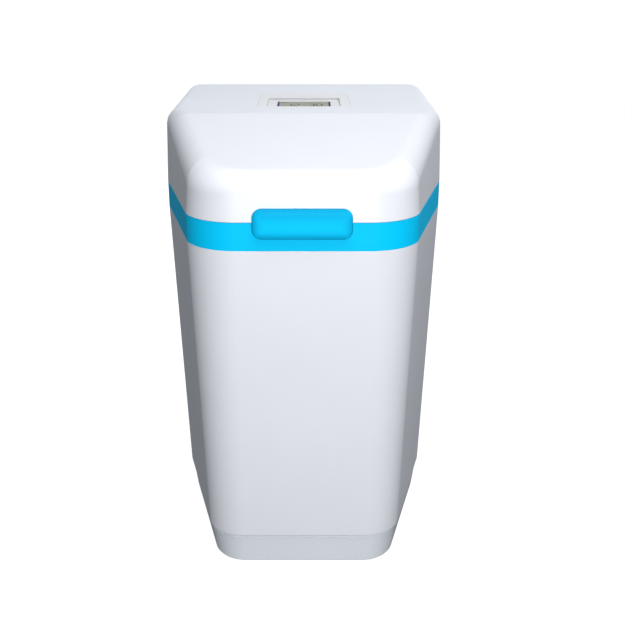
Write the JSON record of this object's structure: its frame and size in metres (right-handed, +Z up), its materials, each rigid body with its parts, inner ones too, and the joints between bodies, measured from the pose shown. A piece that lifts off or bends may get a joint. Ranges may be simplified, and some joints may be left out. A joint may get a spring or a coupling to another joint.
{
  "type": "water softener",
  "caption": "Free-standing cabinet water softener: salt cabinet under a hinged lid, resin vessel with a motor-driven disc valve, display head and brine float.",
  "frame": {"origin": "on the floor under the middle of the whole box, spigots and handle included", "axes": "+X to the right seen from the front, +Y to the rear, +Z up; the front faces -Y"},
  "size_m": [0.33, 0.458, 0.5096],
  "materials": {
    "white_shell": "glossy moulded plastic",
    "plinth": "satin moulded plastic",
    "blue_trim": "glossy moulded plastic",
    "bezel": "fine matte",
    "rubber": "matte",
    "grey_plastic": "matte",
    "black_plastic": "satin",
    "white_plastic": "satin",
    "steel": "plated",
    "vessel": "wound fibre under clear resin",
    "resin": "packed beads",
    "ceramic": "lapped",
    "board": "solder mask",
    "display": "display glass",
    "float": "satin"
  },
  "bodies": {
    "cabinet": {"cabinet": "white_shell", "base_plinth": "plinth", "feet": "rubber", "trim_band": "blue_trim", "rim_seal": "rubber", "rear_port_plate": "grey_plastic", "plate_screws": "steel", "overflow_fitting": "black_plastic", "overflow_washer": "rubber", "overflow_nut": "grey_plastic", "power_inlet": "black_plastic", "salt_grid": "grey_plastic", "cabinet_hinge_leaves": "white_plastic", "hinge_pins": "steel", "hinge_screws": "steel", "resin_vessel": "vessel", "vessel_foot": "black_plastic", "riser_tube": "white_plastic", "bottom_strainer": "grey_plastic", "top_strainer": "grey_plastic", "resin_bed": "resin", "valve_body": "black_plastic", "neck_o_ring": "rubber", "fixed_disc": "ceramic", "motor": "steel", "gear_cover": "grey_plastic", "injector_cap": "black_plastic", "drain_tail": "grey_plastic", "brine_connector": "grey_plastic", "meter_cage": "white_plastic", "head_base": "grey_plastic", "head_cover": "bezel", "head_screws": "steel", "circuit_board": "board", "display_glass": "display", "brine_well": "white_plastic", "well_cap": "white_plastic", "safety_valve": "black_plastic", "pickup_tube": "white_plastic", "air_check": "black_plastic", "brine_tube": "white_plastic"},
    "lid": {"lid": "white_shell", "lid_handle": "blue_trim", "handle_screws": "steel", "lid_hinge_leaves": "white_plastic", "lid_hinge_screws": "steel"},
    "drive": {"moving_disc": "ceramic", "drive_gear": "white_plastic"},
    "pinion": {"pinion": "steel"},
    "turbine": {"meter_turbine": "blue_trim"},
    "float": {"float": "float", "float_rod": "steel"},
    "button_1": {"button_1": "grey_plastic"},
    "button_2": {"button_2": "grey_plastic"},
    "button_3": {"button_3": "grey_plastic"},
    "button_4": {"button_4": "grey_plastic"}
  },
  "joints": [
    {"name": "lid_hinge", "type": "hinge", "parent": "cabinet", "child": "lid", "pos_m": [0, 0.20625, 0.4239], "axis": [-1, 0, 0], "range_deg": [0, 95]},
    {"name": "drive_turn", "type": "hinge", "parent": "cabinet", "child": "drive", "pos_m": [0, 0.062, 0.43], "axis": [0, 0, 1], "continuous": true},
    {"name": "pinion_turn", "type": "hinge", "parent": "cabinet", "child": "pinion", "pos_m": [0, 0.02188, 0.44], "axis": [0, 0, 1], "continuous": true},
    {"name": "turbine_spin", "type": "hinge", "parent": "cabinet", "child": "turbine", "pos_m": [0.03, 0.147, 0.352], "axis": [0, 1, 0], "continuous": true},
    {"name": "float_rise", "type": "slide", "parent": "cabinet", "child": "float", "axis": [0, 0, 1], "range_m": [0, 0.04]},
    {"name": "button_1_press", "type": "slide", "parent": "cabinet", "child": "button_1", "axis": [0, 0, -1], "range_m": [0, 0.0008], "stiffness_N_per_m": 500},
    {"name": "button_2_press", "type": "slide", "parent": "cabinet", "child": "button_2", "axis": [0, 0, -1], "range_m": [0, 0.0008], "stiffness_N_per_m": 500},
    {"name": "button_3_press", "type": "slide", "parent": "cabinet", "child": "button_3", "axis": [0, 0, -1], "range_m": [0, 0.0008], "stiffness_N_per_m": 500},
    {"name": "button_4_press", "type": "slide", "parent": "cabinet", "child": "button_4", "axis": [0, 0, -1], "range_m": [0, 0.0008], "stiffness_N_per_m": 500}
  ],
  "couplings": [
    {"joint": "pinion_turn", "follows": "drive_turn", "ratio": -4}
  ]
}
